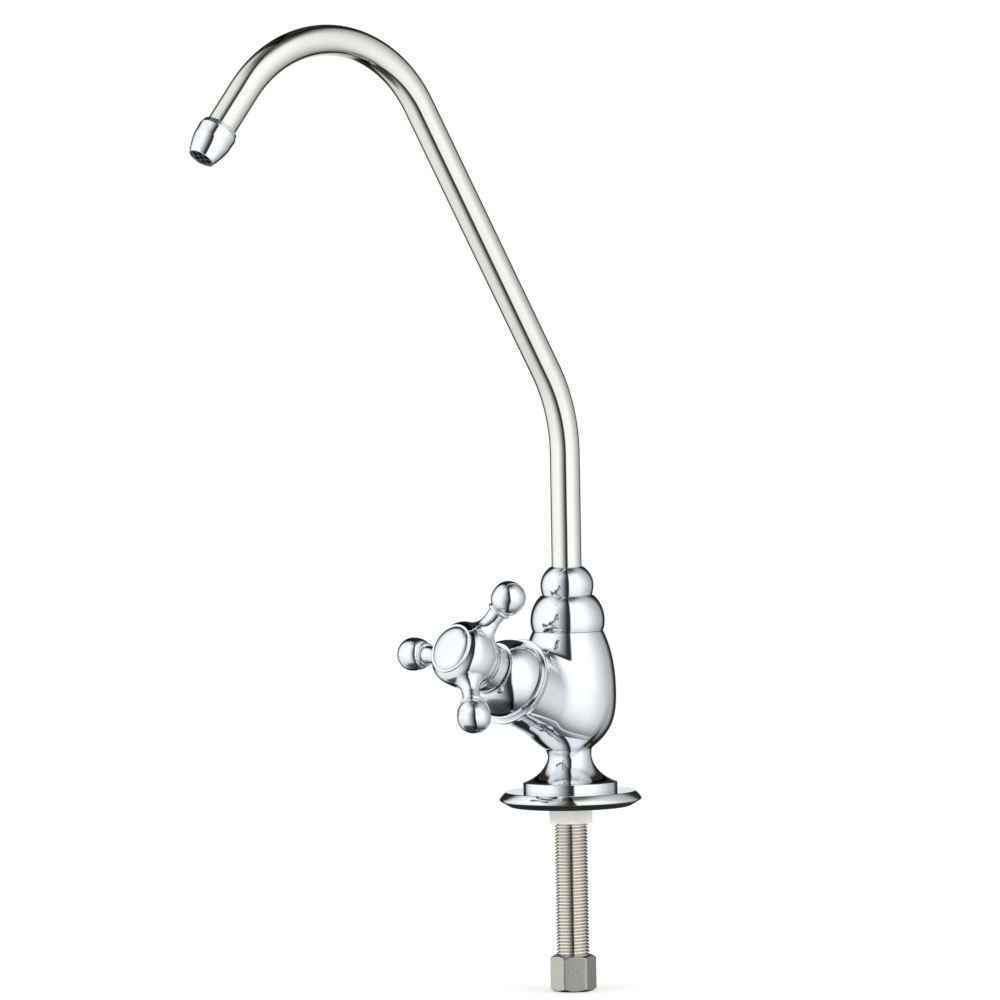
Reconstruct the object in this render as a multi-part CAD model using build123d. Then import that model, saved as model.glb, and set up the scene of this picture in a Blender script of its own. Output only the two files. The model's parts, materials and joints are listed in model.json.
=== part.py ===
from build123d import *
import os
from math import cos, radians, sin, sqrt

# A drinking-water faucet for a counter, in millimetres: a threaded inlet below, a quarter-turn valve
# with a three-arm handle, and a swivelling high-arc spout. The origin is on the column's axis, on the
# counter's surface, which is the washer's underside. The valve leans up towards -Y.

# Fits between pieces
running_gap = 0.05
thread_gap = 0.05
seal_gap = 0.02
axial_gap = 0.10
loose_gap = 0.20
edge_break = 0.3

# Base: washer, plate and column foot
washer_thick = 3.9
washer_proud = 2.4
washer_r = 24.0
washer_lip_r = 28.0
washer_lip_gap = 0.1
nut_recess_r = 12.0
nut_recess_depth = 0.6
plate_rim_r = 28.5
plate_top_r = 26.2
plate_thick = 3.65
plate_rim_height = 0.9
foot_r = 18.9
foot_height = 4.2

# Column outline above the foot
flare_start_r = 17.9
flare_height = 10.2
waist_r = 8.7
waist_height = 1.2
belly_start_r = 9.3
belly_start_height = 1.8
belly_r = 19.0
belly_low_height = 21.5
belly_top_height = 25.2
column_top_r = 14.2

# Beads on the column and the spout's bearing
socket_height = 14.3
socket_top_r = 10.4
socket_bulge = 1.75
cap_nut_height = 11.4
cap_nut_base_r = 10.0
cap_nut_top_r = 7.0
spigot_r = 9.45
spigot_length = 9.5
spigot_groove_at = 4.5
spigot_groove_depth = 1.35
bearing_r = 7.0
cap_thread_r = 8.95
cap_thread_length = 6.0
thrust_washer_thick = 1.0
fitting_flange_r = 8.5
fitting_flange_thick = 1.9
fitting_barrel_length = 11.0
fitting_cup_length = 9.0
fitting_bore_r = 4.5
fitting_groove_first = 2.6
fitting_groove_pitch = 4.4
fitting_groove_depth = 1.5

# Spout tube and nozzle
tube_r = 6.0
tube_wall = 1.0
spout_swing = 6.65
riser_height = 140.7
low_bend_r = 67.1
low_bend_turn = 30.15
leaning_length = 122.6
high_bend_r = 51.5
high_bend_turn = 110.87
falling_length = 33.4
nozzle_length = 14.8
nozzle_top_r = 7.1
nozzle_chamfer_length = 2.1
nozzle_r = 7.8
nozzle_cone_length = 8.0
nozzle_cone_r = 7.6
nozzle_tip_r = 5.3
nozzle_mouth_r = 4.9
nozzle_shelf = 6.5
insert_length = 4.5
insert_recess = 0.4
insert_hole_r = 1.1
insert_hole_ring_r = 2.9

# Shank and the nuts on it: a G1/4 thread
thread_r = 6.58
thread_pitch = 1.337
thread_depth = 0.856
shank_bore_r = 2.6
shank_socket_depth = 8.5
shank_below_counter = 66.4
shank_seal_thick = 1.4
mounting_nut_across = 17.0
mounting_nut_height = 7.2
mounting_nut_turn = -44.9
coupling_nut_across = 16.0
coupling_nut_height = 14.5
coupling_nut_start = 59.6
coupling_nut_turn = -10.2
coupling_floor = 3.6
supply_tube_r = 3.3
supply_stop = 12.0
ferrule_thick = 1.6
ferrule_height = 3.4
nut_chamfer = 0.9

# Valve boss on the column, measured along the valve's axis from where it crosses the column's axis
valve_tilt = 24.49
crossing_height = 37.2
boss_root_r = 15.9
boss_end_r = 15.3
boss_length = 32.6
boss_lip_rear_r = 17.35
boss_lip_r = 17.95
boss_lip_thick = 2.7
boss_lip_round = 0.75
boss_fillet = 4.5
inlet_bore_r = 4.2
outlet_bore_r = 4.0
outlet_bore_end = 45.9
port_r = 4.0
port_start = 3.0
seat_at = 5.0
chamber_r = 8.8
chamber_length = 19.0
housing_thread_r = 9.45

# Valve insides, stacked outwards from the seat
seat_seal_thick = 2.4
disc_r = 6.2
fixed_disc_thick = 2.8
disc_gap = 0.02
moving_disc_thick = 2.4
disc_port_r = 1.6
disc_port_ring_r = 3.3
tongue_width = 3.0
tongue_depth = 0.9
driver_r = 6.0
driver_thick = 2.2
flow_length = 2.9
collar_r = 4.9
collar_thick = 1.5
stop_lug_r = 6.1
stop_lug_angle = 60.0
stem_washer_thick = 0.75
stem_r = 4.0
stem_groove_first = 6.0
stem_groove_pitch = 5.0
stem_groove_depth = 1.3
clip_thick = 0.7
clip_r = 6.6
clip_groove_depth = 0.8
clip_opening = 70.0
drive_flats = 6.4

# Cartridge housing
housing_nose_gap = 1.0
housing_bore_r = 6.3
housing_nose_wall = 1.6
window_width = 6.0
window_length = 3.0
housing_groove_at = 2.2
housing_groove_depth = 1.35
housing_flange_r = 14.45
housing_flange_thick = 4.6
housing_hex_across = 17.0
housing_hex_height = 6.0
housing_neck_r = 6.3
housing_neck_length = 5.0

# Domed cover of the valve
dome_base_r = 15.75
dome_height = 12.9
dome_crown_r = 10.9
dome_wall = 1.6

# Handle
skirt_gap = 0.4
skirt_r = 10.0
skirt_length = 4.4
skirt_room_r = 7.4
skirt_web = 2.5
skirt_spigot_r = 8.0
skirt_spigot_length = 2.5
hub_r = 13.1
hub_base_r = 9.35
hub_centre = 10.04
hub_front = 9.06
hub_rim_r = 10.05
hub_socket_depth = 9.9
hub_floor = 3.0
screw_r = 2.0
screw_head_r = 3.5
screw_head_height = 2.6
screw_length = 10.0
screw_key_across = 2.5
screw_key_depth = 1.5
screw_room_r = 7.5
cap_seat_depth = 1.8
index_cap_r = 9.0
index_cap_crown = 1.4
arm_count = 3
arm_turn = 29.45
arm_root_r = 6.2
arm_flare_reach = 2.0
arm_neck_r = 3.45
arm_neck_at = 18.0
arm_ring_r = 4.8
arm_ring_at = 22.2
arm_ring_width = 1.7
arm_groove_r = 4.0
ball_r = 6.7
ball_centre = 29.2
ball_tip = 6.3

# Heights along the column, worked out from the sizes above
plate_low = washer_proud
plate_high = plate_low + plate_thick
foot_high = plate_high + foot_height
waist_low = foot_high + flare_height
waist_high = waist_low + waist_height
belly_low = waist_high + belly_start_height
belly_middle = belly_low + belly_low_height
column_top = belly_middle + belly_top_height
socket_top = column_top + socket_height
cap_nut_top = socket_top + cap_nut_height
bearing_seat = socket_top - cap_thread_length
fitting_flange_low = bearing_seat + thrust_washer_thick + running_gap
fitting_top = fitting_flange_low + fitting_flange_thick
fitting_low = fitting_top - fitting_cup_length - fitting_barrel_length
shank_top = plate_high + shank_socket_depth
shank_floor = shank_top + shank_seal_thick

# Places along the valve's axis, worked out the same way
boss_face = boss_length + boss_lip_thick
seal_end = seat_at + seat_seal_thick
fixed_end = seal_end + fixed_disc_thick
moving_low = fixed_end + disc_gap
moving_high = moving_low + moving_disc_thick
driver_high = moving_high + driver_thick
collar_low = driver_high + flow_length
collar_high = collar_low + collar_thick
housing_step = collar_high + stem_washer_thick + axial_gap
chamber_end = seat_at + chamber_length
housing_flange_high = boss_face + housing_flange_thick
housing_hex_high = housing_flange_high + housing_hex_height
neck_end = housing_hex_high + housing_neck_length
dome_low = boss_face + axial_gap
dome_high = dome_low + dome_height
skirt_low = dome_high + skirt_gap
skirt_high = skirt_low + skirt_length
hub_middle = skirt_high + hub_centre
hub_socket_end = skirt_high + hub_socket_depth
hub_floor_end = hub_socket_end + hub_floor
hub_front_end = hub_middle + hub_front
cap_seat = hub_front_end - cap_seat_depth
stem_end = hub_socket_end - axial_gap
clip_low = neck_end + axial_gap

valve_plane = Plane(
    origin=(0, 0, crossing_height),
    x_dir=(1, 0, 0),
    z_dir=(0, -cos(radians(valve_tilt)), sin(radians(valve_tilt))),
)


# A solid turned about Z. The outline is in (radius, height). A step is one point for a straight line,
# or a list of three points for a cubic curve, and the outline closes itself.
def turned(start, *steps):
    here = Vector(start[0], 0, start[1])
    first = here
    edges = []
    for step in steps:
        if isinstance(step, list):
            points = [Vector(r, 0, z) for r, z in step]
            edges.append(Bezier(here, *points))
        else:
            points = [Vector(step[0], 0, step[1])]
            edges.append(Line(here, points[0]))
        here = points[-1]
    edges.append(Line(here, first))
    return revolve(make_face(edges), Axis.Z)


def ring(inner_r, outer_r, low, high):
    return turned((inner_r, low), (outer_r, low), (outer_r, high), (inner_r, high))


def rod(radius, low, high):
    return turned((0, low), (radius, low), (radius, high), (0, high))


# A seal ring that fills a groove from its floor to the wall it seals on
def seal_ring(floor_r, wall_r, middle):
    section_r = (wall_r - floor_r) / 2 - seal_gap
    return Pos(0, 0, middle) * Torus((wall_r + floor_r) / 2, section_r)


# The groove for such a seal ring, cut into a shaft
def seal_groove(floor_r, wall_r, middle):
    half = (wall_r - floor_r) / 2 + seal_gap
    return ring(floor_r, wall_r + 1, middle - half, middle + half)


def hexagon(across, low, high, turn, chamfer):
    prism = extrude(RegularPolygon(across / 2, 6, major_radius=False, rotation=turn), high - low)
    corner_r = across / sqrt(3)
    blank = turned(
        (0, low),
        (corner_r - chamfer * 1.7, low),
        (corner_r, low + chamfer),
        (corner_r, high - chamfer),
        (corner_r - chamfer * 1.7, high),
        (0, high),
    )
    return (Pos(0, 0, low) * prism) & blank


# A wedge about Z from one angle to another, from the axis out to a radius
def wedge(radius, low, high, angle, width):
    return Pos(0, 0, low) * Rot(0, 0, angle) * Cylinder(
        radius, high - low, arc_size=width, align=(Align.CENTER, Align.CENTER, Align.MIN)
    )


def base_washer():
    lip_high = plate_low - washer_lip_gap
    washer = turned(
        (0, 0),
        (washer_r, 0),
        (washer_lip_r, lip_high),
        (washer_r, lip_high),
        (washer_r, washer_thick),
        (0, washer_thick),
    )
    washer -= rod(nut_recess_r, -1, nut_recess_depth)
    return washer - rod(thread_r + loose_gap, -1, washer_thick + 1)


def escutcheon():
    plate = turned(
        (0, plate_low),
        (plate_rim_r - edge_break / 2, plate_low),
        (plate_rim_r, plate_low + plate_rim_height),
        [
            (plate_rim_r - 0.6, plate_low + plate_rim_height + 1.1),
            (plate_top_r + 0.75, plate_high - 0.7),
            (plate_top_r, plate_high),
        ],
        (0, plate_high),
    )
    recess = rod(washer_r + loose_gap, plate_low - 1, washer_thick)
    return plate - recess - rod(thread_r + loose_gap, plate_low - 1, plate_high + 1)


# The thread is a row of grooves, one for each pitch, below the body and down to the shank's end
def threaded_shank():
    crest = thread_pitch / 8
    low = -shank_below_counter
    count = int((plate_high + shank_socket_depth / 2 - low) / thread_pitch) - 1
    steps = [(thread_r - thread_depth, low), (thread_r - crest, low + crest)]
    for turn in range(count):
        start = low + crest + turn * thread_pitch
        steps.append((thread_r, start + crest))
        steps.append((thread_r, start + 2 * crest))
        steps.append((thread_r - thread_depth, start + thread_pitch / 2 + crest / 2))
        steps.append((thread_r - thread_depth, start + thread_pitch / 2 + crest))
    steps.append((thread_r, low + count * thread_pitch + 2 * crest))
    steps += [(thread_r, shank_top - 0.5), (thread_r - 0.5, shank_top), (shank_bore_r, shank_top)]
    shank = turned((shank_bore_r, low), *steps)
    supply_room = rod(supply_tube_r + running_gap, low - 1, low + supply_stop)
    return shank - supply_room


def shank_seal():
    return ring(inlet_bore_r, thread_r - loose_gap, shank_top, shank_floor)


def mounting_nut():
    top = nut_recess_depth - axial_gap
    low = top - mounting_nut_height
    nut = hexagon(mounting_nut_across, low, top, mounting_nut_turn, nut_chamfer / 2)
    return nut - rod(thread_r + thread_gap, low - 1, top + 1)


def coupling_nut():
    high = -coupling_nut_start
    low = high - coupling_nut_height
    floor = low + coupling_floor
    nut = hexagon(coupling_nut_across, low, high, coupling_nut_turn, nut_chamfer)
    nut -= rod(thread_r + thread_gap, floor, high + 1)
    return nut - rod(supply_tube_r, low - 1, floor + 1)


def compression_ferrule():
    floor = coupling_floor - coupling_nut_start - coupling_nut_height
    inner = supply_tube_r + running_gap
    top = min(floor + ferrule_height, -shank_below_counter - axial_gap)
    middle = (floor + top) / 2
    return turned((inner, floor), (inner + ferrule_thick, floor), (inner + ferrule_thick, middle),
                  (inner + ferrule_thick / 2, top), (inner, top))


def column_outline():
    return turned(
        (0, plate_high),
        (foot_r, plate_high),
        (foot_r, foot_high - 0.9),
        [(foot_r, foot_high - 0.3), (foot_r - 0.4, foot_high - 0.05), (flare_start_r, foot_high)],
        [
            (waist_r + (flare_start_r - waist_r) * 0.3, foot_high + flare_height * 0.22),
            (waist_r, waist_low - flare_height * 0.3),
            (waist_r, waist_low),
        ],
        (waist_r, waist_high),
        [
            (waist_r, waist_high + belly_start_height * 0.45),
            (waist_r + 0.1, belly_low - belly_start_height * 0.25),
            (belly_start_r, belly_low),
        ],
        [
            (belly_start_r + (belly_r - belly_start_r) * 0.8, belly_low + belly_low_height * 0.28),
            (belly_r, belly_middle - belly_low_height * 0.45),
            (belly_r, belly_middle),
        ],
        [
            (belly_r, belly_middle + belly_top_height * 0.32),
            (column_top_r + (belly_r - column_top_r) * 0.82, column_top - belly_top_height * 0.33),
            (column_top_r, column_top - edge_break),
        ],
        (column_top_r - edge_break, column_top),
        (0, column_top),
    )


# The boss ends in a ring that widens outwards and has a round front edge
def valve_boss():
    return valve_plane.location * turned(
        (0, 0),
        (boss_root_r, 0),
        (boss_end_r, boss_length),
        (boss_lip_rear_r, boss_length),
        (boss_lip_r, boss_face - boss_lip_round),
        [
            (boss_lip_r, boss_face - boss_lip_round * 0.45),
            (boss_lip_r - boss_lip_round * 0.45, boss_face),
            (boss_lip_r - boss_lip_round, boss_face),
        ],
        (0, boss_face),
    )


def body():
    casting = column_outline() + valve_boss()
    casting = fillet(casting.edges().filter_by(GeomType.BSPLINE), boss_fillet)
    casting -= rod(thread_r + thread_gap, plate_high - 1, shank_floor)
    casting -= rod(inlet_bore_r, shank_floor - 1, crossing_height)
    casting -= rod(spigot_r + running_gap, column_top - spigot_length - axial_gap, column_top + 1)
    casting -= rod(outlet_bore_r, outlet_bore_end, column_top)
    bores = rod(port_r, -port_start, seat_at + 1)
    bores += rod(chamber_r, seat_at, chamber_end)
    bores += rod(housing_thread_r + thread_gap, chamber_end - 1, boss_face + 1)
    return casting - valve_plane.location * bores


def spout_socket():
    low = column_top - spigot_length
    outline = turned(
        (bearing_r + running_gap, low),
        (spigot_r, low),
        (spigot_r, column_top),
        (column_top_r, column_top),
        [
            (column_top_r + socket_bulge * 0.95, column_top + socket_height * 0.30),
            (column_top_r + socket_bulge * 0.25, socket_top - socket_height * 0.24),
            (socket_top_r, socket_top),
        ],
        (bearing_r + running_gap, socket_top),
    )
    outline -= seal_groove(spigot_r - spigot_groove_depth, spigot_r, low + spigot_groove_at)
    return outline - rod(cap_thread_r + thread_gap, bearing_seat, socket_top + 1)


def socket_o_ring():
    middle = column_top - spigot_length + spigot_groove_at
    return seal_ring(spigot_r - spigot_groove_depth, spigot_r + running_gap, middle)


def spout_thrust_washer():
    inner = bearing_r + loose_gap
    return ring(inner, cap_thread_r - loose_gap, bearing_seat, bearing_seat + thrust_washer_thick)


def spout_cap_nut():
    inner = tube_r + loose_gap
    low = fitting_top + axial_gap
    return turned(
        (inner, low),
        (cap_thread_r, low),
        (cap_thread_r, socket_top),
        (cap_nut_base_r, socket_top),
        [
            (cap_nut_base_r + 0.75, socket_top + cap_nut_height * 0.24),
            (cap_nut_base_r + 1.75, socket_top + cap_nut_height * 0.62),
            (cap_nut_top_r, cap_nut_top - 0.4),
        ],
        (inner, cap_nut_top),
    )


def spout_end_fitting():
    cup_floor = fitting_top - fitting_cup_length
    outline = turned(
        (fitting_bore_r, fitting_low),
        (bearing_r, fitting_low),
        (bearing_r, fitting_flange_low),
        (fitting_flange_r, fitting_flange_low),
        (fitting_flange_r, fitting_top),
        (fitting_bore_r, fitting_top),
    )
    outline -= rod(tube_r, cup_floor, fitting_top + 1)
    for place in fitting_grooves():
        outline -= seal_groove(bearing_r - fitting_groove_depth, bearing_r, place)
    return outline


def fitting_grooves():
    return [fitting_low + fitting_groove_first + step * fitting_groove_pitch for step in range(2)]


def spout_o_rings():
    floor_r = bearing_r - fitting_groove_depth
    return [seal_ring(floor_r, bearing_r + running_gap, place) for place in fitting_grooves()]


# The spout's route in its own plane: the reach is along X here, and the spout is then swung round
def spout_route():
    start = fitting_top - fitting_cup_length
    low_turn = radians(low_bend_turn)
    high_turn = radians(low_bend_turn + high_bend_turn)

    def along_low(angle):
        return Vector(low_bend_r * (1 - cos(angle)), 0, riser_height + low_bend_r * sin(angle))

    low_end = along_low(low_turn)
    lean_end = low_end + Vector(sin(low_turn), 0, cos(low_turn)) * leaning_length
    centre = lean_end + Vector(cos(low_turn), 0, -sin(low_turn)) * high_bend_r

    def along_high(angle):
        return centre + Vector(-cos(angle), 0, sin(angle)) * high_bend_r

    high_end = along_high(high_turn)
    heading = Vector(sin(high_turn), 0, cos(high_turn))
    tip = high_end + heading * falling_length
    tube_end = tip - heading * nozzle_shelf
    path = [
        Line((0, 0, start), along_low(0)),
        ThreePointArc(along_low(0), along_low(low_turn / 2), low_end),
        Line(low_end, lean_end),
        ThreePointArc(lean_end, along_high((low_turn + high_turn) / 2), high_end),
        Line(high_end, tube_end),
    ]
    return Wire(path), tip, heading


def swung(shape):
    return Rot(0, 0, -90 - spout_swing) * shape


def spout_tube():
    route = spout_route()[0]
    start = Plane(origin=route @ 0, z_dir=(0, 0, 1))
    section = start.location * (Circle(tube_r) - Circle(tube_r - tube_wall))
    return swung(sweep(section, path=route))


def at_nozzle(shape):
    tip, heading = spout_route()[1:]
    return swung(Plane(origin=tip, x_dir=(0, 1, 0), z_dir=heading * -1).location * shape)


def spout_nozzle():
    shell = turned(
        (0, 0),
        (nozzle_tip_r, 0),
        [
            (nozzle_tip_r + (nozzle_cone_r - nozzle_tip_r) * 0.45, nozzle_cone_length * 0.32),
            (nozzle_cone_r - 0.25, nozzle_cone_length * 0.72),
            (nozzle_cone_r, nozzle_cone_length),
        ],
        (nozzle_r, nozzle_length - nozzle_chamfer_length),
        (nozzle_top_r, nozzle_length),
        (0, nozzle_length),
    )
    return at_nozzle(shell - rod(nozzle_mouth_r, -1, nozzle_shelf + 1)
                     - rod(tube_r, nozzle_shelf, nozzle_length + 1))


def outlet_insert():
    insert = rod(nozzle_mouth_r - seal_gap, insert_recess, insert_recess + insert_length)
    hole = rod(insert_hole_r, 0, insert_recess + insert_length + 1)
    insert -= hole
    for turn in range(6):
        insert -= Rot(0, 0, 60 * turn) * Pos(insert_hole_ring_r, 0, 0) * hole
    return at_nozzle(insert)


def seat_seal():
    return ring(port_r + loose_gap, disc_r - loose_gap, seat_at, seal_end)


# Two ports through a disc, side by side on the line at an angle to X
def disc_ports(low, high, angle):
    port = rod(disc_port_r, low - 1, high + 1)
    pair = Pos(disc_port_ring_r, 0, 0) * port + Pos(-disc_port_ring_r, 0, 0) * port
    return Rot(0, 0, angle) * pair


def fixed_disc():
    return rod(disc_r, seal_end, fixed_end) - disc_ports(seal_end, fixed_end, 0)


# The moving disc's slot and the stem's tongue lie between the two ports
def tongue(width, low, high):
    return Pos(0, 0, (low + high) / 2) * Box(2 * disc_r + 1, width, high - low)


def moving_disc():
    disc = rod(disc_r, moving_low, moving_high) - disc_ports(moving_low, moving_high, 90)
    return disc - tongue(tongue_width + loose_gap, moving_high - tongue_depth - seal_gap, moving_high + 1)


def valve_stem():
    stem = rod(driver_r, moving_high, driver_high)
    stem += tongue(tongue_width, moving_high - tongue_depth, moving_high + 0.5) & rod(
        driver_r, moving_low, driver_high
    )
    stem -= disc_ports(moving_low, driver_high, 90)
    stem += rod(stem_r, driver_high - 0.5, stem_end)
    stem += rod(collar_r, collar_low, collar_high)
    stem += wedge(stop_lug_r, collar_low, collar_high, 0, stop_lug_angle)
    for place in stem_grooves():
        stem -= seal_groove(stem_r - stem_groove_depth, stem_r, place)
    stem -= ring(stem_r - clip_groove_depth, stem_r + 1, clip_low, clip_low + clip_thick + seal_gap)
    drive_low = skirt_high
    for side in (-1, 1):
        flat = Box(3 * stem_r, stem_r, stem_end - drive_low + 1)
        place = (drive_low + stem_end + 1) / 2
        stem -= Pos(0, side * (drive_flats / 2 + stem_r / 2), place) * flat
    return stem - rod(screw_r + thread_gap, hub_floor_end - screw_length - 1, stem_end + 1)


def stem_grooves():
    return [housing_step + stem_groove_first + step * stem_groove_pitch for step in range(2)]


def stem_o_rings():
    floor_r = stem_r - stem_groove_depth
    return [seal_ring(floor_r, stem_r + running_gap, place) for place in stem_grooves()]


def stem_thrust_washer():
    return ring(stem_r + running_gap, collar_r, collar_high, collar_high + stem_washer_thick)


def stem_clip():
    inner = stem_r - clip_groove_depth + seal_gap
    clip = ring(inner, clip_r, clip_low, clip_low + clip_thick)
    return clip - wedge(clip_r + 1, clip_low - 1, clip_low + clip_thick + 1, 0, clip_opening)


# The housing's stop rib leaves the stem's lug a quarter turn, and a degree more at each end
def cartridge_housing():
    nose = seat_at + housing_nose_gap
    nose_r = housing_bore_r + housing_nose_wall
    shell = rod(nose_r, nose, chamber_end)
    shell += rod(housing_thread_r, chamber_end, boss_face)
    shell += rod(housing_flange_r, boss_face, housing_flange_high)
    shell += hexagon(housing_hex_across, housing_flange_high, housing_hex_high, 0, edge_break)
    shell += rod(housing_neck_r, housing_hex_high, neck_end)
    groove_r = housing_thread_r - housing_groove_depth
    shell -= seal_groove(groove_r, housing_thread_r, chamber_end + housing_groove_at)
    shell -= rod(housing_bore_r, nose - 1, collar_low - seal_gap)
    shell -= rod(collar_r + running_gap, collar_low - 1, housing_step)
    pocket = wedge(housing_bore_r, collar_low - 1, housing_step, -1, stop_lug_angle + 92)
    window = Pos(0, 0, collar_low - window_length / 2 - seal_gap) * Box(
        4 * housing_bore_r, window_width, window_length
    )
    return shell - pocket - window - rod(stem_r + running_gap, 0, neck_end + 1)


def cartridge_o_ring():
    groove_r = housing_thread_r - housing_groove_depth
    return seal_ring(groove_r, housing_thread_r + thread_gap, chamber_end + housing_groove_at)


def bonnet_dome():
    room_r = housing_flange_r + thread_gap
    room_high = dome_high - dome_wall
    shell = turned(
        (0, dome_low),
        (dome_base_r, dome_low),
        [
            (dome_base_r + 1.2, dome_low + dome_height * 0.54),
            (dome_crown_r + 2.5, dome_high - dome_height * 0.16),
            (dome_crown_r, dome_high),
        ],
        (0, dome_high),
    )
    room = turned(
        (0, dome_low - 1),
        (room_r, dome_low - 1),
        (room_r, housing_flange_high),
        [
            (room_r, housing_flange_high + 2.5),
            (dome_crown_r + 0.9, room_high - 1.2),
            (dome_crown_r - 0.4, room_high),
        ],
        (0, room_high),
    )
    return shell - room - rod(housing_neck_r + loose_gap, room_high - 1, dome_high + 1)


def handle_skirt():
    web_low = skirt_high - skirt_web / 4
    skirt = turned(
        (0, skirt_low),
        (skirt_r - edge_break / 2, skirt_low),
        (skirt_r, skirt_low + edge_break / 2),
        (skirt_r, skirt_high - edge_break),
        (skirt_r - edge_break, skirt_high),
        (skirt_spigot_r, skirt_high),
        (skirt_spigot_r, skirt_high + skirt_spigot_length),
        (0, skirt_high + skirt_spigot_length),
    )
    skirt -= rod(skirt_room_r, skirt_low - 1, web_low)
    return skirt - rod(stem_r + running_gap, web_low - 1, skirt_high + skirt_spigot_length + 1)


# One arm along X: a root that leaves the hub's sphere in line with it, a slim neck, a ring and a ball
def handle_arm():
    ring_low = arm_ring_at - arm_ring_width / 2
    ring_high = arm_ring_at + arm_ring_width / 2
    ring_reach = arm_ring_r + (arm_ring_r - arm_groove_r) / 3
    root_at = sqrt(hub_r**2 - arm_root_r**2)
    shape = turned(
        (0, root_at - 2),
        (arm_root_r, root_at - 2),
        (arm_root_r, root_at),
        [
            (arm_root_r - arm_flare_reach * root_at / hub_r, root_at + arm_flare_reach * arm_root_r / hub_r),
            (arm_neck_r, arm_neck_at - 2.5),
            (arm_neck_r, arm_neck_at),
        ],
        (arm_neck_r + 0.2, ring_low),
        [(ring_reach, ring_low), (ring_reach, ring_high), (arm_groove_r, ring_high)],
        [
            (arm_groove_r + 1.8, ring_high + 0.9),
            (ball_r, ball_centre - ball_r * 0.55),
            (ball_r, ball_centre),
        ],
        [
            (ball_r, ball_centre + ball_tip * 0.552),
            (ball_r * 0.552, ball_centre + ball_tip),
            (0, ball_centre + ball_tip),
        ],
    )
    return Rot(0, 90, 0) * shape


# The hub's rim round the cap's seat, which stands a little out of the sphere
def hub_rim():
    return turned(
        (0, cap_seat),
        (hub_rim_r, cap_seat),
        (hub_rim_r, hub_front_end - edge_break),
        [
            (hub_rim_r, hub_front_end - edge_break * 0.45),
            (hub_rim_r - edge_break * 0.55, hub_front_end),
            (hub_rim_r - edge_break, hub_front_end),
        ],
        (0, hub_front_end),
    )


def handle():
    hub = Pos(0, 0, hub_middle) * Sphere(hub_r)
    hub &= rod(hub_r + 1, skirt_high, hub_front_end)
    base_join = hub_middle - sqrt(hub_r**2 - hub_base_r**2)
    hub -= ring(hub_base_r, hub_r + 1, skirt_high - 1, base_join)
    hub += rod(hub_base_r, skirt_high, base_join + 0.5)
    hub += hub_rim()
    for turn in range(arm_count):
        angle = 90 - arm_turn - turn * 360 / arm_count
        hub += Pos(0, 0, hub_middle) * Rot(0, 0, angle) * handle_arm()
    hub -= rod(skirt_spigot_r + seal_gap, skirt_high - 1, skirt_high + skirt_spigot_length)
    hub -= rod(screw_r + running_gap, skirt_high, hub_front_end)
    hub -= rod(screw_room_r, hub_floor_end, hub_front_end + 1)
    hub -= rod(index_cap_r + seal_gap, cap_seat, hub_front_end + 1)
    socket = rod(stem_r + running_gap, skirt_high, hub_socket_end)
    socket &= Pos(0, 0, (skirt_high + hub_socket_end) / 2) * Box(
        3 * stem_r, drive_flats + 2 * running_gap, hub_socket_depth + 1
    )
    return hub - socket


def index_cap():
    edge = hub_front_end + edge_break / 2
    return turned(
        (0, cap_seat),
        (index_cap_r, cap_seat),
        (index_cap_r, edge),
        [
            (index_cap_r * 0.94, edge + index_cap_crown * 0.85),
            (index_cap_r * 0.62, edge + index_cap_crown),
            (0, edge + index_cap_crown),
        ],
    )


def handle_screw():
    head_top = hub_floor_end + screw_head_height
    screw = rod(screw_head_r, hub_floor_end, head_top)
    screw += rod(screw_r, hub_floor_end - screw_length, hub_floor_end + 0.5)
    key = extrude(RegularPolygon(screw_key_across / 2, 6, major_radius=False), screw_key_depth + 1)
    return screw - Pos(0, 0, head_top - screw_key_depth) * key


def on_valve(shape):
    if isinstance(shape, list):
        return [valve_plane.location * piece for piece in shape]
    return valve_plane.location * shape


column_pieces = [body, escutcheon, base_washer, threaded_shank, shank_seal, mounting_nut, coupling_nut,
                 compression_ferrule, spout_socket, socket_o_ring, spout_thrust_washer, spout_cap_nut]
valve_pieces = [cartridge_housing, cartridge_o_ring, seat_seal, fixed_disc, moving_disc, valve_stem,
                stem_thrust_washer, stem_o_rings, stem_clip, bonnet_dome, handle_skirt, handle,
                handle_screw, index_cap]


def write_piece(name, shape):
    if isinstance(shape, list):
        shape = Compound(children=shape)
    export_step(shape, f"parts/{name}.step")


os.makedirs("parts", exist_ok=True)
for piece in column_pieces:
    write_piece(piece.__name__, piece())
for piece in valve_pieces:
    write_piece(piece.__name__, on_valve(piece()))
write_piece("spout_end_fitting", swung(spout_end_fitting()))
write_piece("spout_o_rings", [swung(seal) for seal in spout_o_rings()])
write_piece("spout_tube", spout_tube())
write_piece("spout_nozzle", spout_nozzle())
write_piece("outlet_insert", outlet_insert())
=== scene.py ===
import json

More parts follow.
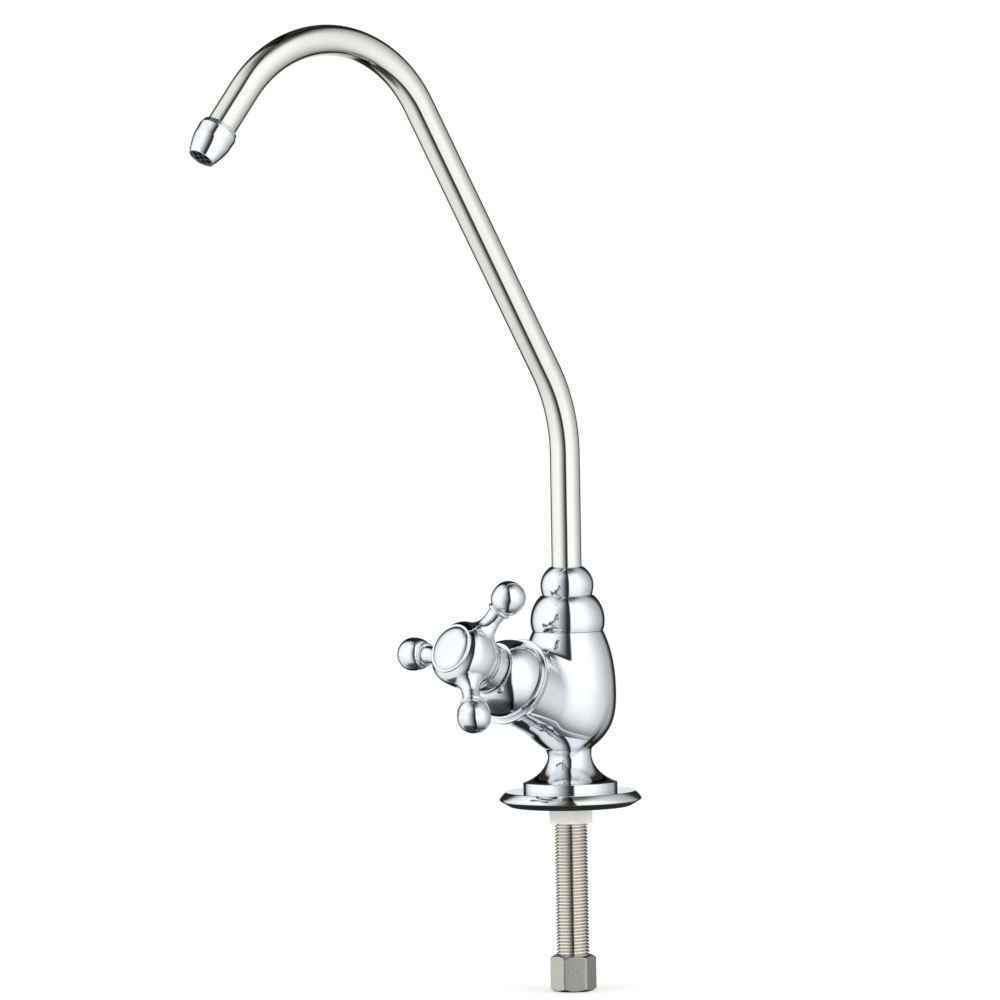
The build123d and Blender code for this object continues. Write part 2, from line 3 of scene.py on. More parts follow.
import bmesh
import bpy
import numpy as np
from mathutils import Matrix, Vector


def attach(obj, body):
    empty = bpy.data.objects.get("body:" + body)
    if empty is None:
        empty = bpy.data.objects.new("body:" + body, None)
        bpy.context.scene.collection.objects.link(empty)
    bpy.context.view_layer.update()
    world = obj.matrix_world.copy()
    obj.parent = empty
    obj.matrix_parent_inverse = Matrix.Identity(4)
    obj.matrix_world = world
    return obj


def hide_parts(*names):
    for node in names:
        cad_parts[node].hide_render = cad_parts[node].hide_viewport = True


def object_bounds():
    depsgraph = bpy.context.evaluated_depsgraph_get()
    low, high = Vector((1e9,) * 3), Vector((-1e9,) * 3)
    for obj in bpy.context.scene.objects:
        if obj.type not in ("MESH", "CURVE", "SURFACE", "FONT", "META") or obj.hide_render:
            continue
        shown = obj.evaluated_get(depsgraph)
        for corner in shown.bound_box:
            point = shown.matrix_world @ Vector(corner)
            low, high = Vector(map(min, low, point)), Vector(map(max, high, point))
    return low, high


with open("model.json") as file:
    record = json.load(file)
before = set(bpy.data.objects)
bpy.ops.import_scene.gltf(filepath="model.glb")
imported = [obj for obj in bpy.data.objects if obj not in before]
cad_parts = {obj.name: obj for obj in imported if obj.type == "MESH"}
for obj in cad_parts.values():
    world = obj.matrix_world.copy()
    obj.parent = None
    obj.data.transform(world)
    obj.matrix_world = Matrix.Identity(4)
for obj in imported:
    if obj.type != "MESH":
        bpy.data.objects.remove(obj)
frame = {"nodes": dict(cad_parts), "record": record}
cadLow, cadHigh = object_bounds()
print("stage: frame loaded")

mm = 0.001
record = frame["record"]
bodyOfNode = {node: body for body, nodes in record["behaviour"]["bodies"].items() for node in nodes}
slotOfNode = {part["node"]: part["material_slot"] for part in record["subparts"]}
jointNamed = {joint["name"]: joint for joint in record["behaviour"]["joints"]}


# Camera. The place and lens were fitted to the tube's bends, the thread and the round edges.
cameraView = {
    "distance": 3.0,          # metres from the column's axis
    "turn": 44.87,            # degrees from +X towards -Y
    "lookDown": 2.69,         # degrees
    "roll": -0.985,           # degrees
    "focalPixels": 7522.0,    # in the photograph's frame of 1000 pixels
    "framePixels": 1000.0,
    "footPixel": (565.4, 801.0),   # the plate's underside on the column's axis
    "footHeight": 2.4 * mm,
    "sensor": 36.0,
    "clip": (0.05, 60.0),     # metres
}
upward = np.array([0.0, 0.0, 1.0])


def addObject(name, data):
    thing = bpy.data.objects.new(name, data)
    bpy.context.scene.collection.objects.link(thing)
    return thing


def placed(right, up, back, place):  # the matrix of three axes and a place
    matrix = np.eye(4)
    matrix[:3] = np.stack([right, up, back, place], 1)
    return Matrix(matrix.tolist())


def placeCamera(view):
    turn, down, roll = np.radians([view["turn"], view["lookDown"], view["roll"]])
    away = np.array([np.cos(turn), -np.sin(turn), 0.0])     # level, from the column to the camera
    right = np.array([np.sin(turn), np.cos(turn), 0.0])
    middle = view["framePixels"] / 2
    reach = view["distance"] * np.cos(down)
    # the foot's pixel says how far the camera stands above it and beside it
    lift = (middle - view["footPixel"][1]) / view["focalPixels"]
    height = -reach * (lift * np.cos(down) - np.sin(down)) / (np.cos(down) + lift * np.sin(down))
    depth = reach * np.cos(down) + height * np.sin(down)
    side = -(view["footPixel"][0] - middle) * depth / view["focalPixels"]
    place = right * side + away * reach + upward * (height + view["footHeight"])
    top = upward * np.cos(down) - away * np.sin(down)
    camera = addObject("camera", bpy.data.cameras.new("camera"))
    camera.data.sensor_width = view["sensor"]
    camera.data.lens = view["focalPixels"] / view["framePixels"] * view["sensor"]
    camera.data.clip_start, camera.data.clip_end = view["clip"]
    camera.matrix_world = placed(right * np.cos(roll) + top * np.sin(roll),
                                 top * np.cos(roll) - right * np.sin(roll),
                                 away * np.cos(down) + upward * np.sin(down), place)
    bpy.context.scene.camera = camera
    return away, right


cameraAway, cameraRight = placeCamera(cameraView)
print("stage: camera placed")


# Materials
def linear(hexColour):  # sRGB hex to linear
    values = np.array([int(hexColour[place:place + 2], 16) for place in (1, 3, 5)]) / 255
    curved = ((values + 0.055) / 1.055) ** 2.4
    return tuple(np.where(values <= 0.04045, values / 12.92, curved)) + (1.0,)


def addNode(tree, kind, settings=None, links=None):
    node = tree.nodes.new(kind)
    for name, value in (settings or {}).items():
        if isinstance(name, int) or name in node.inputs:
            node.inputs[name].default_value = value
        else:
            setattr(node, name, value)
    for name, source in (links or {}).items():
        tree.links.new(source, node.inputs[name])
    return node


def clearTree(owner):  # the empty node tree of a material or a world
    owner.use_nodes = True
    owner.node_tree.nodes.clear()
    return owner.node_tree


def newMaterial(name, surface):  # one Principled shader and its output
    material = bpy.data.materials.new(name)
    tree = clearTree(material)
    shader = addNode(tree, "ShaderNodeBsdfPrincipled", surface)
    addNode(tree, "ShaderNodeOutputMaterial", links={"Surface": shader.outputs["BSDF"]})
    place = addNode(tree, "ShaderNodeTexCoord").outputs["Object"]
    return material, tree, shader, place


metal = {"Metallic": 1.0}
noiseSpan = (0.3, 0.7)  # nearly all of a noise's values lie in it
mixDark, mixLight, mixResult = 6, 7, 2  # a Mix node's colour sockets, which share their names


# Lumps of a real size in mm, with finer detail in them, squeezed by a factor along each axis
def lumpsOf(tree, place, sizeMm, detail=2.0, squeeze=(1, 1, 1)):
    mapping = addNode(tree, "ShaderNodeMapping", {"Scale": squeeze}, {"Vector": place})
    settings = {"Scale": 1 / (sizeMm * mm), "Detail": detail, "Roughness": 0.55}
    noise = addNode(tree, "ShaderNodeTexNoise", settings, {"Vector": mapping.outputs["Vector"]})
    return noise.outputs["Fac"]


# Each of the three starts with its pattern. Then come the least and most roughness, the two colours
# that it mixes, or the relief's depth in mm and its strength.
def finish(tree, shader, gloss=None, colours=None, relief=None):
    if gloss:
        settings = {"From Min": noiseSpan[0], "From Max": noiseSpan[1],
                    "To Min": gloss[1], "To Max": gloss[2]}
        spread = addNode(tree, "ShaderNodeMapRange", settings, {"Value": gloss[0]})
        tree.links.new(spread.outputs["Result"], shader.inputs["Roughness"])
    if colours:
        settings = {"data_type": "RGBA", mixDark: linear(colours[1]), mixLight: linear(colours[2])}
        mix = addNode(tree, "ShaderNodeMix", settings, {"Factor": colours[0]})
        tree.links.new(mix.outputs[mixResult], shader.inputs["Base Color"])
    if relief:
        settings = {"Distance": relief[1] * mm, "Strength": relief[2]}
        bump = addNode(tree, "ShaderNodeBump", settings, {"Height": relief[0]})
        tree.links.new(bump.outputs["Normal"], shader.inputs["Normal"])


# One grain in the gloss, colour and relief. Real grain is finer than a pixel of the photograph, so each
# is drawn as coarse as it needs to show.
def grained(name, surface, grain, gloss, colours, relief):
    material, tree, shader, place = newMaterial(name, surface)
    pattern = lumpsOf(tree, place, *grain)
    finish(tree, shader, (pattern, *gloss), (pattern, *colours), (pattern, *relief))
    return material


# Chromium plate over polished brass: a clear mirror, faintly blue, with a trace of polishing haze
def polishedChrome():
    material, tree, shader, place = newMaterial("polishedChrome", metal)
    haze, tint = lumpsOf(tree, place, 9.0), lumpsOf(tree, place, 21.0, 1.0)
    finish(tree, shader, (haze, 0.035, 0.06), (tint, "#DADFE3", "#E2E5E8"))
    return material


# Stainless tube, finely brushed: faint streaks that soften the edges of its reflections a little
def brushedSteel():
    return grained("brushedSteel", metal, grain=(1.6, 4.0, (1, 1, 4)), gloss=(0.07, 0.12),
                   colours=("#D6D5D0", "#E2E1DD"), relief=(0.003, 0.2))


# Nickel plate on a cut thread: warm grey, lighter on the crests and darker in the valleys
def nickelThread():
    valley, crest = 5.76 * mm, 6.15 * mm    # distances from the shank's axis
    material, tree, shader, place = newMaterial("nickelThread", metal)
    across = addNode(tree, "ShaderNodeVectorMath", {"operation": "MULTIPLY", 1: (1, 1, 0)}, {0: place})
    radius = addNode(tree, "ShaderNodeVectorMath", {"operation": "LENGTH"},
                     {0: across.outputs["Vector"]})
    rise = addNode(tree, "ShaderNodeMapRange", {"From Min": valley, "From Max": crest},
                   {"Value": radius.outputs["Value"]})
    finish(tree, shader, (lumpsOf(tree, place, 1.8, 3.0), 0.09, 0.18),
           (rise.outputs["Result"], "#B9B5AB", "#F0EDE4"))
    return material


# Nickel plate on a rough drawn hexagon bar: dull, with small pits and speckles
def speckledNickel():
    return grained("speckledNickel", metal, grain=(0.6, 3.0, (1, 1, 0.6)), gloss=(0.20, 0.34),
                   colours=("#A9A8A0", "#C4C3BB"), relief=(0.03, 0.7))


# Satin chrome on a bead-blasted collar: the reflections break into a fine grain
def satinChrome():
    return grained("satinChrome", metal, grain=(0.5, 2.0), gloss=(0.20, 0.30),
                   colours=("#D2D5D8", "#E2E5E7"), relief=(0.008, 0.3))


# Turned brass and stainless inside the valve: bright metal, a little uneven from the tool
def turnedMetal(name, dark, light):
    return grained(name, metal, grain=(0.8, 2.0), gloss=(0.22, 0.34), colours=(dark, light),
                   relief=(0.01, 0.4))


# A matt body for rubber, plastics and ceramics: a moulded grain in its colour, gloss and relief
def moulded(name, dark, light, gloss, grainMm, reliefMm, surface=None):
    return grained(name, surface or {}, grain=(grainMm, 3.0), gloss=gloss, colours=(dark, light),
                   relief=(reliefMm, 0.6))


chrome = polishedChrome()
# Light goes a little way into nylon
nylonDepth = {"Subsurface Weight": 0.12, "Subsurface Radius": (0.003, 0.003, 0.002),
              "Subsurface Scale": 0.5}
materialOfSlot = {
    "chromed_brass": chrome,
    "chromed_plate": chrome,
    "chromed_handle": chrome,
    "satin_collar": satinChrome(),
    "brushed_tube": brushedSteel(),
    "nickel_plated_shank": nickelThread(),
    "nickel_plated_nut": speckledNickel(),
    "brass": turnedMetal("turnedBrass", "#C29A4E", "#DDBB72"),
    "steel_screw": turnedMetal("stainlessSteel", "#A5A5A3", "#C8C8C6"),
    # EPDM rubber: nearly black, matt, with a fine moulded tooth. Nitrile rubber is smoother.
    "black_rubber": moulded("epdmRubber", "#0B0C0D", "#181A1B", (0.55, 0.75), 0.6, 0.02),
    "seal_rubber": moulded("nitrileRubber", "#0D0D0E", "#17181A", (0.35, 0.5), 0.5, 0.01),
    # Nylon 6 is white with a soft sheen, acetal a little greyer and smoother, ABS a soft black
    "white_nylon": moulded("mouldedNylon", "#FCFBF7", "#FFFFFC", (0.32, 0.45), 2.2, 0.02, nylonDepth),
    "white_acetal": moulded("mouldedAcetal", "#E9E9E4", "#F3F3EF", (0.25, 0.35), 1.5, 0.01),
    "black_plastic": moulded("mouldedAbs", "#0C0D0F", "#16181B", (0.3, 0.45), 0.8, 0.01),
    # The two lapped ceramics shine, one ivory and one dark grey
    "white_ceramic": moulded("aluminaCeramic", "#E6E4DC", "#F0EFEA", (0.12, 0.2), 0.7, 0.002),
    "grey_ceramic": moulded("carbideCeramic", "#4A4B4D", "#5C5D60", (0.12, 0.2), 0.7, 0.002),
}
for node, partObject in frame["nodes"].items():
    partObject.data.materials.clear()
    partObject.data.materials.append(materialOfSlot[slotOfNode[node]])
print("stage: materials made")


# Outlines, in millimetres. A step is (radius, height, rounding) for a straight line there. A curve has
# two pairs before those three: where its handles lie, seen from its start and from its end.
# The first line starts where the last step ends.
roundingSteps = 8
curveSamples = 400
supportMm = 0.05  # a short step beside a rounding keeps long flats free of shading bleed
quarterHandle = 0.552  # how long a quarter circle's handles are, as a share of its radius


# The line without what its roundings cut off, with points at an even spacing
def trimmed(line, cutStart, cutEnd, spacing):
    lengths = np.linalg.norm(np.diff(line, axis=0), axis=1)
    along = np.concatenate([[0.0], np.cumsum(lengths)])
    low, high = cutStart, along[-1] - cutEnd
    count = max(2, int(np.ceil((high - low) / spacing)) + 1)
    stops = np.linspace(low, high, count)
    if high - low > 4 * supportMm:
        stops = np.unique(np.concatenate([stops, [low + supportMm, high - supportMm]]))
    return np.stack([np.interp(stops, along, line[:, axis]) for axis in (0, 1)], 1)


def cubic(start, handleA, handleB, end, count):
    # (1-t)^3 start + 3t(1-t)^2 handleA + 3t^2(1-t) handleB + t^3 end
    t = np.linspace(0, 1, count)[:, None]
    return (1 - t)**3 * start + 3 * t * (1 - t)**2 * handleA + 3 * t**2 * (1 - t) * handleB + t**3 * end


def outline(*steps, spacing=0.55, closed=True):
    ends = [np.array(step[-3:-1], float) for step in steps]
    rounds = [step[-1] for step in steps]
    lines = {}
    for index in range(0 if closed else 1, len(steps)):
        start, end = ends[index - 1], ends[index]
        if len(steps[index]) > 3:
            leave, meet = np.array(steps[index][:2], float)
            line = cubic(start, start + leave, end + meet, end, curveSamples)
        else:
            line = np.array([start, end])
        startRound = rounds[index - 1] if closed or index > 1 else 0.0
        lines[index] = trimmed(line, startRound, rounds[index], spacing)
    points = []
    t = np.linspace(0, 1, roundingSteps + 1)[1:-1, None]
    for index, line in lines.items():
        following = lines.get((index + 1) % len(steps))
        if rounds[index] > 0 and following is not None:
            corner = (1 - t)**2 * line[-1] + 2 * t * (1 - t) * ends[index] + t**2 * following[0]
            points += [line, corner]
        else:
            points.append(line if following is None else line[:-1])
    return np.concatenate(points)


def eased(share):  # 0 to 1 with level ends: 3 x^2 - 2 x^3
    return share * share * (3 - 2 * share)


# Meshes from grids of points: a square for each step, and a closed row or column joins its first
def gridPatch(points, closedRows=False, closedColumns=True):
    rows, columns = points.shape[:2]
    row = np.arange(rows if closedRows else rows - 1)
    column = np.arange(columns if closedColumns else columns - 1)
    row, column = np.meshgrid(row, column, indexing="ij")
    nextRow, nextColumn = (row + 1) % rows, (column + 1) % columns
    corners = [row * columns + column, row * columns + nextColumn,
               nextRow * columns + nextColumn, nextRow * columns + column]
    return points.reshape(-1, 3), np.stack(corners, -1).reshape(-1, 4)


def joined(patches):  # several patches as one, with their faces counted on
    points, faces, first = [], [], 0
    for patchPoints, patchFaces in patches:
        points.append(patchPoints)
        faces.append(patchFaces + first)
        first += len(patchPoints)
    return np.concatenate(points), np.concatenate(faces)


def patchBorder(half, low, high, acrossSteps, sideSteps):
    # a patch's steps across and down, then the turns and levels of its border, from the top left
    across = np.linspace(-half, half, acrossSteps + 1)
    levels = np.linspace(high, low, sideSteps + 1)
    borderTurn = np.concatenate([across[:-1], np.full(sideSteps, half), across[:0:-1],
                                 np.full(sideSteps, -half)])
    borderLevel = np.concatenate([np.full(acrossSteps, high), levels[:-1], np.full(acrossSteps, low),
                                  levels[:0:-1]])
    return across, levels, borderTurn, borderLevel


upright = (np.eye(3), np.zeros(3))  # a frame is its three axes as rows, and its origin in mm
weldReach = 2e-7  # metres


def makePiece(name, patch, nodes, place=upright):
    points, faces = patch
    points = (points @ place[0] + place[1]) * mm
    mesh = bpy.data.meshes.new(name)
    mesh.vertices.add(len(points))
    mesh.vertices.foreach_set("co", points.astype(np.float32).ravel())
    mesh.loops.add(faces.size)
    mesh.loops.foreach_set("vertex_index", faces.astype(np.int32).ravel())
    mesh.polygons.add(len(faces))
    mesh.polygons.foreach_set("loop_start", np.arange(0, faces.size, 4, dtype=np.int32))
    mesh.update(calc_edges=True)
    cage = bmesh.new()  # closes seams and poles, then turns every face outwards
    cage.from_mesh(mesh)
    bmesh.ops.remove_doubles(cage, verts=cage.verts, dist=weldReach)
    bmesh.ops.recalc_face_normals(cage, faces=cage.faces)
    cage.to_mesh(mesh)
    cage.free()
    mesh.polygons.foreach_set("use_smooth", np.ones(len(mesh.polygons), dtype=bool))
    mesh.materials.append(materialOfSlot[slotOfNode[nodes[0]]])
    piece = addObject(name, mesh)
    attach(piece, bodyOfNode[nodes[0]])
    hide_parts(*nodes)


def turnedAt(line, cosines, sines):  # each outline point (r, z) becomes (r cos a, r sin a, z)
    radius, height = line[:, :1], line[:, 1:]
    return np.stack([radius * cosines, radius * sines, height + 0 * cosines], -1)


def turnedPiece(name, nodes, *steps, place=upright, segments=224, spacing=0.55, closed=True):
    angle = np.arange(segments) * 2 * np.pi / segments
    points = turnedAt(outline(*steps, spacing=spacing, closed=closed), np.cos(angle), np.sin(angle))
    makePiece(name, gridPatch(points, closedRows=closed), nodes, place)


# Base plate and washer
basePlate = {
    "low": 2.4, "high": 6.05, "rim": 28.5, "rimHeight": 0.9, "undercut": 0.15, "top": 26.2,
    "slopeLeave": (-0.6, 1.1), "slopeMeet": (0.75, -0.7),
    "hole": 6.78, "recess": 24.2, "recessTop": 3.9, "segments": 320,
}


def makeBasePlate(s):
    turnedPiece(
        "basePlate", ["escutcheon"],
        (s["hole"], s["recessTop"], 0.1),
        (s["recess"], s["recessTop"], 0.1),
        (s["recess"], s["low"], 0.15),
        (s["rim"] - s["undercut"], s["low"], 0.25),
        (s["rim"], s["low"] + s["rimHeight"], 0.25),
        (s["slopeLeave"], s["slopeMeet"], s["top"], s["high"], 0.3),
        (s["hole"], s["high"], 0.1),
        segments=s["segments"],
    )


rubberWasher = {
    "hole": 6.78, "outer": 24.0, "thick": 3.9, "recess": 12.0, "recessDepth": 0.6,
    "lip": 27.95, "lipHigh": 2.3,           # a thin lip under the plate's rim
}


def makeRubberWasher(s):
    turnedPiece(
        "rubberWasher", ["base_washer"],
        (s["hole"], s["recessDepth"], 0.1),
        (s["recess"], s["recessDepth"], 0.15),
        (s["recess"], 0.0, 0.15),
        (s["outer"], 0.0, 0.5),
        (s["lip"], s["lipHigh"], 0.08),
        (s["outer"], s["lipHigh"], 0.1),
        (s["outer"], s["thick"], 0.3),
        (s["hole"], s["thick"], 0.1),
    )


makeBasePlate(basePlate)
makeRubberWasher(rubberWasher)
print("stage: base made")


# Hexagon nuts. A row is the hexagon, held within the row's radius, so a small radius gives a circle.
def hexagonLine(across, cornerRound, turn, sideSteps=10, cornerSteps=6):
    reach = (across / 2 - cornerRound) / np.cos(np.pi / 6)
    corner = np.radians(turn) + np.arange(6) * np.pi / 3
    sweep = corner[:, None] + np.linspace(-np.pi / 6, np.pi / 6, cornerSteps + 1)
    arc = np.stack([reach * np.cos(corner[:, None]) + cornerRound * np.cos(sweep),
                    reach * np.sin(corner[:, None]) + cornerRound * np.sin(sweep)], -1)
    start, end = arc[:, -1], np.roll(arc[:, 0], -1, axis=0)
    share = np.linspace(0, 1, sideSteps + 1)[1:-1, None]
    side = start[:, None] + (end - start)[:, None] * share
    return np.concatenate([arc, side], 1).reshape(-1, 2)


def nutPoints(line, hexagon):
    reach = np.linalg.norm(hexagon, axis=1)
    scale = np.minimum(1.0, line[:, :1] / reach)
    height = np.repeat(line[:, 1:], len(hexagon), 1)
    return np.stack([hexagon[:, 0] * scale, hexagon[:, 1] * scale, height], -1)


# Both nuts have this outside. What is inside, from the bore's top down, comes with each.
def nutPiece(name, nodes, s, *inside):
    corner = s["across"] / np.sqrt(3)
    flat = corner - s["chamferWide"]
    line = outline(
        (s["hole"], s["low"], 0.2),
        (flat, s["low"], 0.12),
        (corner, s["low"] + s["chamferHigh"], 0.0),
        (corner, s["high"] - s["chamferHigh"], 0.0),
        (flat, s["high"], 0.12),
        (s["bore"], s["high"], 0.2),
        *inside, spacing=s["spacing"],
    )
    hexagon = hexagonLine(s["across"], s["cornerRound"], s["turn"])
    makePiece(name, gridPatch(nutPoints(line, hexagon), closedRows=True), nodes)


mountingNut = {
    "across": 17.0, "low": -6.7, "high": 0.5, "turn": -44.9, "cornerRound": 0.35,
    "chamferHigh": 1.4, "chamferWide": 1.33, "hole": 6.63, "bore": 6.63, "spacing": 0.2,
}
couplingNut = {
    "across": 16.0, "low": -74.1, "high": -59.6, "turn": -10.2, "cornerRound": 0.25,
    "chamferHigh": 1.1, "chamferWide": 1.87, "hole": 3.3, "bore": 6.63, "spacing": 0.22,
    "floor": 3.6,                           # what is left below the bore, round the tube's hole
}


def makeMountingNut(s):
    nutPiece("mountingNut", ["mounting_nut"], s)


def makeCouplingNut(s):
    top = s["low"] + s["floor"]
    nutPiece("couplingNut", ["coupling_nut"], s, (s["bore"], top, 0.1), (s["hole"], top, 0.1))


makeMountingNut(mountingNut)
makeCouplingNut(couplingNut)


# Threaded shank: a helix of the true pitch, faded out at both hidden ends
shank = {
    "crest": 6.58, "depth": 0.856, "pitch": 1.337, "low": -66.4, "high": 14.55, "bore": 2.6,
    "tubeRoom": 3.35, "tubeStop": 12.0, "rowsPerTurn": 12, "segments": 96,
    "valleyHalf": 0.40,                     # half of a valley's width, as a share of the pitch
}


def makeShank(s):
    # z = v + pitch a / 2 pi, and the radius dips once in each pitch of v, so every row is a helix
    step = s["pitch"] / s["rowsPerTurn"]
    rows = np.arange(s["low"] - s["pitch"], s["high"] + step, step)
    angle = np.linspace(0, 2 * np.pi, s["segments"] + 1)
    height = rows[:, None] + s["pitch"] * angle / (2 * np.pi)
    phase = np.mod(np.arange(len(rows)) / s["rowsPerTurn"], 1.0)[:, None]
    valley = eased(1 - np.clip(np.abs(phase - 0.5) / s["valleyHalf"], 0, 1))
    height = np.clip(height, s["low"], s["high"])
    fade = np.clip(np.minimum(height - s["low"], s["high"] - height) / s["pitch"], 0, 1)
    minor = s["crest"] - s["depth"]
    radius = minor + fade * s["depth"] * (1 - valley)
    wall = np.stack([radius * np.cos(angle), radius * np.sin(angle), height], -1)
    stop = s["low"] + s["tubeStop"]
    bore = [[minor, s["high"]], [s["bore"], s["high"]], [s["bore"], stop], [s["tubeRoom"], stop],
            [s["tubeRoom"], s["low"]], [minor, s["low"]]]
    ends = turnedAt(np.array(bore), np.cos(angle), np.sin(angle))
    patch = joined([gridPatch(wall, closedColumns=False), gridPatch(ends, closedColumns=False)])
    makePiece("threadedShank", patch, ["threaded_shank"])


makeShank(shank)
print("stage: nuts and shank made")

# The valve's frame, from the handle's joint: its third axis points out along the valve
valveAxis = np.array(jointNamed["handle_turn"]["axis"], float)
valveAxis /= np.linalg.norm(valveAxis)
valveUp = np.cross(valveAxis, [1.0, 0.0, 0.0])
valvePlace = (np.array([[1.0, 0.0, 0.0], valveUp, valveAxis]),
              np.array(jointNamed["handle_turn"]["pos_m"], float) / mm)


# Column: foot, waist and belly turned about Z, with the tilted boss blended into the belly
column = {
    "bottom": 6.05, "top": 70.15, "foot": 18.9, "footTop": 10.25, "footEdge": 0.5, "footInset": 0.6,
    "flareStart": 17.9, "flareDrop": 0.15, "flareLeave": (-6.44, 2.39), "flareMeet": (0.0, -3.06),
    "waist": 8.7, "waistLow": 20.45, "waistHigh": 21.65,
    "neckLeave": (0.0, 0.81), "neckMeet": (-0.5, -0.45),
    "bellyStart": 9.3, "bellyLow": 23.45, "bellyLeave": (7.76, 6.02), "bellyMeet": (0.0, -9.68),
    "belly": 19.0, "bellyMiddle": 44.95, "shoulderLeave": (0.0, 8.06), "shoulderMeet": (3.94, -8.27),
    "topRadius": 14.2, "topLedge": 0.8, "crownInset": 1.0, "spigotBore": 9.5, "spigotDepth": 9.6,
    "shankBore": 6.63, "shankDepth": 9.9,
    "blend": 4.5,                           # radius between boss and belly
    "patchLow": 17.6, "patchHigh": 68.8, "patchHalf": 112.0, "patchMiddle": 43.5,
    "acrossSteps": 150, "sideSteps": 76, "backSteps": 90, "ringSteps": 30, "bossSteps": 26,
    "ringGather": 1.25, "bossGather": 1.15,         # above 1, the rows gather at the blend
    "seam": 0.01, "creaseSteps": 1440, "halvings": 40, "settlings": 7, "probe": 0.01, "flattest": 0.05,
}
boss = {
    "rootRadius": 15.9, "endRadius": 15.3, "length": 32.6,
    "lipRear": 17.35, "lipCorner": 18.1, "lipThick": 2.7, "lipRound": 0.75,
    "bore": 9.5, "boreDepth": 11.3,
}


def columnLine(s):
    return outline(
        (s["foot"], s["bottom"], 0.25),
        (s["foot"], s["footTop"] - s["footEdge"], 0.4),
        (s["flareStart"], s["footTop"] - s["flareDrop"], 0.35),
        (s["flareLeave"], s["flareMeet"], s["waist"], s["waistLow"], 0.0),
        (s["waist"], s["waistHigh"], 0.0),
        (s["neckLeave"], s["neckMeet"], s["bellyStart"], s["bellyLow"], 0.0),
        (s["bellyLeave"], s["bellyMeet"], s["belly"], s["bellyMiddle"], 0.0),
        (s["shoulderLeave"], s["shoulderMeet"], s["topRadius"], s["top"] - supportMm, 0.3),
        (s["topRadius"] - s["topLedge"], s["top"], 0.0),
        spacing=0.3, closed=False,
    )


